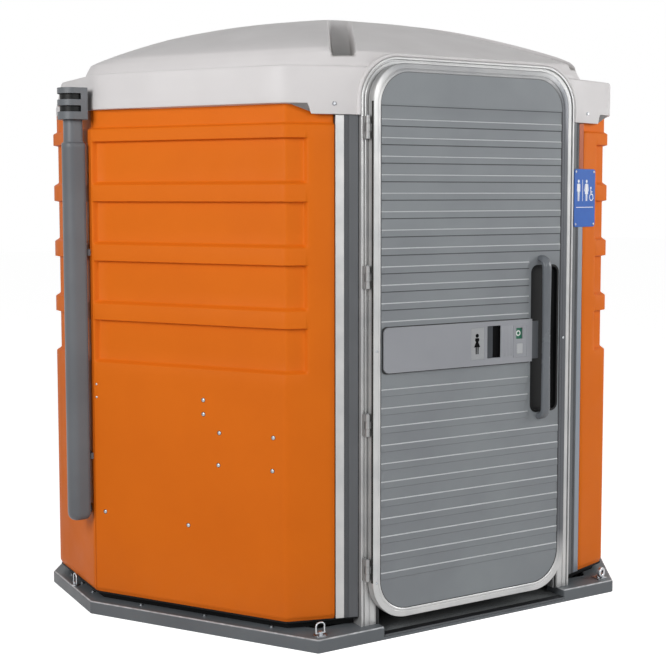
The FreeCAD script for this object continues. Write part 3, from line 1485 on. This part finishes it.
def seat_and_lid():
    seat = new_body("seat_ring")
    outer = ("seat_round",) * 4
    inner = ("bowl_round",) * 4
    pad(seat, rounded(seat, "-seat_back", "-seat_front", "-seat_half", "seat_half", outer, "tank_top",
                      "XY_Plane"), "seat_thick")
    pocket(seat, rounded(seat, "-bowl_back", "-bowl_front", "-bowl_half", "bowl_half", inner,
                         "tank_top - fit_gap", "XY_Plane"), "seat_thick + 2 * fit_gap")
    axis_z = "(tank_top + lid_axis_up)"
    lugs = []
    for side, y in (("near", "-lid_arm_half - lug_gap - lug_wide"), ("far", "lid_arm_half + lug_gap")):
        lugs.append(block("seat_lug_" + side, "-lid_axis_x - lug_half", y, "tank_top",
                          "lid_axis_x + 2 * lug_half - seat_back + lug_half", "lug_wide", "seat_thick / 2"))
        lugs.append(block("seat_ear_" + side, "-lid_axis_x - lug_half", y, "tank_top", "2 * lug_half",
                          "lug_wide", "lid_axis_up + lid_barrel_radius"))
    bore = rod("seat_bore", "-lid_axis_x", "-2 * lid_arm_half", axis_z, "lid_pin_radius + pin_play",
               "4 * lid_arm_half", "y")
    node(cut("seat_body", fuse("seat_joined", seat, *lugs), bore), "toilet_seat")
    reach = "(lid_arm_half + lug_gap + lug_wide)"
    node(rod("lid_pin_body", "-lid_axis_x", "-" + reach, axis_z, "lid_pin_radius", "2 * " + reach, "y"),
         "lid_hinge_pin")
    lid_low = "(tank_top + seat_thick + face_gap)"
    lid = new_body("lid_plate")
    pad(lid, rounded(lid, "-seat_back", "-seat_front", "-seat_half", "seat_half", outer, lid_low,
                     "XY_Plane"), "lid_thick")
    arm = block("lid_arm", "-lid_axis_x", "-lid_arm_half", lid_low,
                "lid_axis_x - seat_back + seat_round / 3", "2 * lid_arm_half", "lid_thick")
    barrel = rod("lid_barrel", "-lid_axis_x", "-lid_arm_half", axis_z, "lid_barrel_radius",
                 "2 * lid_arm_half", "y")
    lid_bore = rod("lid_bore", "-lid_axis_x", "-2 * lid_arm_half", axis_z, "lid_pin_radius + pin_play",
                   "4 * lid_arm_half", "y")
    node(cut("lid_body", fuse("lid_joined", lid, arm, barrel), lid_bore), "toilet_lid")


# Grab bars and paper holder on the slanted walls beside the tank

def grab_bars():
    def section(body, start):
        return circles(body, start, "0", ("grab_radius", "grab_radius - grab_wall"), "0", "XZ_Plane")

    x, y = left_wall_point("grab_run", "wall_thick")
    bar = bow("grab_body", "grab_span", "grab_reach", "grab_round", section)
    place(bar, x, y, "grab_z", "-side_angle")
    node(group("grab_pair", bar, mirror("grab_back", bar, V(0, 1, 0))), "grab_bars")
    flanges = []
    for i, run in enumerate(("0", "grab_span")):
        disc = rod("flange_disc_%d" % i, run, "0", "0", "grab_flange_radius", "grab_flange_thick", "y")
        hole = rod("flange_hole_%d" % i, run, "-fit_gap", "0", "grab_radius + pin_play",
                   "grab_flange_thick + 2 * fit_gap", "y")
        flanges.append(cut("flange_%d" % i, disc, hole))
    front = place(group("flanges_front", *flanges), x, y, "grab_z", "-side_angle")
    node(group("flanges_all", front, mirror("flanges_back", front, V(0, 1, 0))), "grab_bar_flanges")


def paper():
    """Holder with two ears, its spindle, and two rolls side by side."""
    x, y = left_wall_point("0", "0")
    back = "-wall_thick - paper_plate"
    plate = block("paper_back", "paper_run", back, "paper_low", "paper_wide", "paper_plate", "paper_tall")
    ears = [block("paper_ear_%d" % i, start, back + " - paper_reach", "paper_low", "paper_plate",
                  "paper_reach + fit_gap", "paper_tall")
            for i, start in enumerate(("paper_run", "paper_run + paper_wide - paper_plate"))]
    axis_y = "%s - paper_axis" % back
    axis_z = "paper_low + paper_tall / 2"
    holder = fuse("paper_holder_body", plate, *ears)
    node(place(group("paper_holder_set", holder), x, y, "0", "180 - side_angle"), "paper_holder")
    inner_wide = "(paper_wide - 2 * paper_plate)"
    spindle = rod("paper_rod", "paper_run + paper_plate", axis_y, axis_z, "spindle_paper_radius",
                  inner_wide, "x")
    node(place(group("paper_spindle_set", spindle), x, y, "0", "180 - side_angle"), "paper_spindle")
    gap = "((%s - 2 * roll_wide) / 3)" % inner_wide
    for i, letter in enumerate("ab"):
        start = "paper_run + paper_plate + %s + (roll_wide + %s) * %d" % (gap, gap, i)
        roll = cut("roll_cut_" + letter, rod("roll_body_" + letter, start, axis_y, axis_z, "roll_radius",
                                             "roll_wide", "x"),
                   rod("roll_bore_" + letter, start + " - fit_gap", axis_y, axis_z, "roll_bore",
                       "roll_wide + 2 * fit_gap", "x"))
        node(place(group("roll_set_" + letter, roll), x, y, "0", "180 - side_angle"), "paper_roll_" + letter)


# Fittings on the right end and the back wall

def dispenser():
    body = block("soap_box", WALL_INNER_X + " - soap_deep", "-soap_half", "soap_low", "soap_deep",
                 "2 * soap_half", "soap_tall")
    well = block("soap_well", WALL_INNER_X + " - soap_deep - fit_gap", "-push_half - face_gap",
                 "push_low - face_gap", "push_long - push_proud + push_travel + 2 * fit_gap",
                 "2 * (push_half + face_gap)", "push_tall + 2 * face_gap")
    node(cut("soap_cut", body, well), "dispenser_body")
    push = block("push_block", WALL_INNER_X + " - soap_deep - push_proud", "-push_half", "push_low",
                 "push_long", "2 * push_half", "push_tall")
    node(push, "dispenser_push")


def back_wall_fittings():
    glass = block("mirror_body", "mirror_x", BACK_INNER_Y + " - mirror_thick", "mirror_low", "mirror_wide",
                  "mirror_thick", "mirror_tall")
    node(glass, "mirror")
    plate = block("hook_plate", "hook_x - 4 * hook_radius", BACK_INNER_Y + " - hook_radius",
                  "hook_z - 6 * hook_radius", "8 * hook_radius", "hook_radius", "12 * hook_radius")
    arm = rod("hook_arm", "hook_x", BACK_INNER_Y + " - hook_reach", "hook_z", "hook_radius", "hook_reach",
              "y")
    tip = rod("hook_tip", "hook_x", BACK_INNER_Y + " - hook_reach", "hook_z - hook_radius", "hook_radius",
              "5 * hook_radius")
    node(fuse("hook_body", plate, arm, tip), "coat_hook")


# Fasteners and tie-down eyes

def wall_rivets():
    heads = []
    for i in range(sum(name.startswith("rivet_run_") for name in SIZES)):
        radius = "wall_rivet_radius" if i < LARGE_RIVETS else "small_rivet_radius"
        heads.append(stud("wall_rivet_%d" % i, negative("rivet_run_%d" % i), "0", "rivet_high_%d" % i,
                          radius, "wall_rivet_proud", "y", True))
    x, y = left_wall_point("0", "0")
    node(place(group("wall_rivet_set", *heads), x, y, "0", "-side_angle"), "wall_rivets")


def ledge_screws():
    """Screws along the slanted and end edges of the ledge, in front of the sill's foot."""
    corners = corner_points("screw_inset")
    heads = []
    for j, (start, end) in enumerate(((0, 1), (1, 2), (2, 3))):
        for i, share in enumerate(("0.2", "0.5", "0.8")):
            x = "%s * (1 - %s) + %s * %s" % (corners[start][0], share, corners[end][0], share)
            y = "%s * (1 - %s) + %s * %s" % (corners[start][1], share, corners[end][1], share)
            for side, sign in (("right", "(%s)"), ("left", "-(%s)")):
                heads.append(stud("ledge_screw_%s_%d%d" % (side, j, i), sign % x, y, "ledge_high",
                                  "screw_radius", "screw_tall"))
    node(group("ledge_screw_set", *heads), "ledge_screws")


def tie_downs():
    """Saddles with rings at the front left corner and the left end, and a bracket at the right."""
    end_x = "(-%s + end_eye_inset)" % HALF_WIDTH
    axis_z = "(ledge_high + eye_plate_thick + ring_clear + ring_wire)"
    top = "(eye_plate_thick + ring_clear + 2 * ring_wire + saddle_wall)"
    reach = "(ring_wire + saddle_wall)"

    def section(body, start):
        return circles(body, start, "0", ("ring_wire",), "0", "XZ_Plane")

    parts = []
    for name, x, y, plate, yaw in (("front", "-eye_x", "-eye_y", "eye_plate_radius", "0"),
                                   ("left", end_x, "-end_eye_y", "end_plate_radius", "90")):
        disc = rod("eye_plate_" + name, "0", "0", "ledge_high", plate, "eye_plate_thick")
        saddle = block("saddle_" + name, "-saddle_half", "-" + reach, "ledge_high", "2 * saddle_half",
                       "2 * " + reach, top)
        bore = rod("saddle_bore_" + name, "-saddle_half - fit_gap", "0", axis_z, "ring_wire + pin_play",
                   "2 * (saddle_half + fit_gap)", "x")
        holder = cut("eye_" + name, fuse("eye_joined_" + name, disc, saddle), bore)
        parts.append(place(group("eye_set_" + name, holder), x, y, "0", yaw))
        ring = bow("ring_bow_" + name, "ring_wide", "ring_tall", "ring_round", section)
        ring.Placement.Rotation = FreeCAD.Rotation(V(1, 0, 0), 90)
        place(ring, "-ring_wide / 2", "0", axis_z)
        bar = rod("ring_bar_" + name, "-ring_wide / 2 - ring_wire", "0", axis_z, "ring_wire",
                  "ring_wide + 2 * ring_wire", "x")
        node(place(group("ring_set_" + name, fuse("ring_" + name, ring, bar)), x, y, "0", yaw),
             "tie_ring_" + name)
    plate_y = "(-eye_y + bracket_plate / 4)"
    plate = block("tie_plate", "eye_x - bracket_plate / 2", plate_y + " - bracket_plate / 2", "ledge_high",
                  "bracket_plate", "bracket_plate", "eye_plate_thick")
    boss = rod("tie_boss", "eye_x", plate_y, "ledge_high + eye_plate_thick - fit_gap", "boss_radius",
               "2 * eye_plate_thick")
    parts.append(fuse("tie_bracket", plate, boss))
    node(group("tie_down_set", *parts), "tie_down_eyes")


def build():
    fill_sheet()
    base_tray()
    floor_plate()
    threshold_strip()
    floor_sill()
    wall_panels()
    corner_posts()
    door_posts()
    roof_shell()
    roof_bolts()
    door_frame()
    door_seal()
    strike_plate()
    door_rim()
    door_skins()
    lock_plate()
    handle_tray()
    pull_handle()
    inner_pull()
    door_rivets()
    hinges()
    latch()
    sign()
    vent()
    waste_tank()
    seat_and_lid()
    grab_bars()
    paper()
    dispenser()
    back_wall_fittings()
    wall_rivets()
    ledge_screws()
    tie_downs()
    DOC.recompute()


def check():
    faults = [thing.Name for thing in DOC.Objects if "Invalid" in thing.State or "Error" in thing.State]
    for thing in NODES:
        if thing.Shape.isNull() or not thing.Shape.isValid() or not thing.Shape.Solids:
            faults.append(thing.Label)
    if faults:
        raise RuntimeError("faulty objects: " + ", ".join(faults))


def write():
    os.makedirs("parts", exist_ok=True)
    for thing in NODES:
        thing.Shape.exportStep("parts/%s.step" % thing.Label)
        box = thing.Shape.BoundBox
        print("%-20s solids %2d litres %8.3f  x %8.1f %8.1f  y %8.1f %8.1f  z %7.1f %7.1f"
              % (thing.Label, len(thing.Shape.Solids), thing.Shape.Volume / 1e6, box.XMin, box.XMax,
                 box.YMin, box.YMax, box.ZMin, box.ZMax))


build()
check()
write()
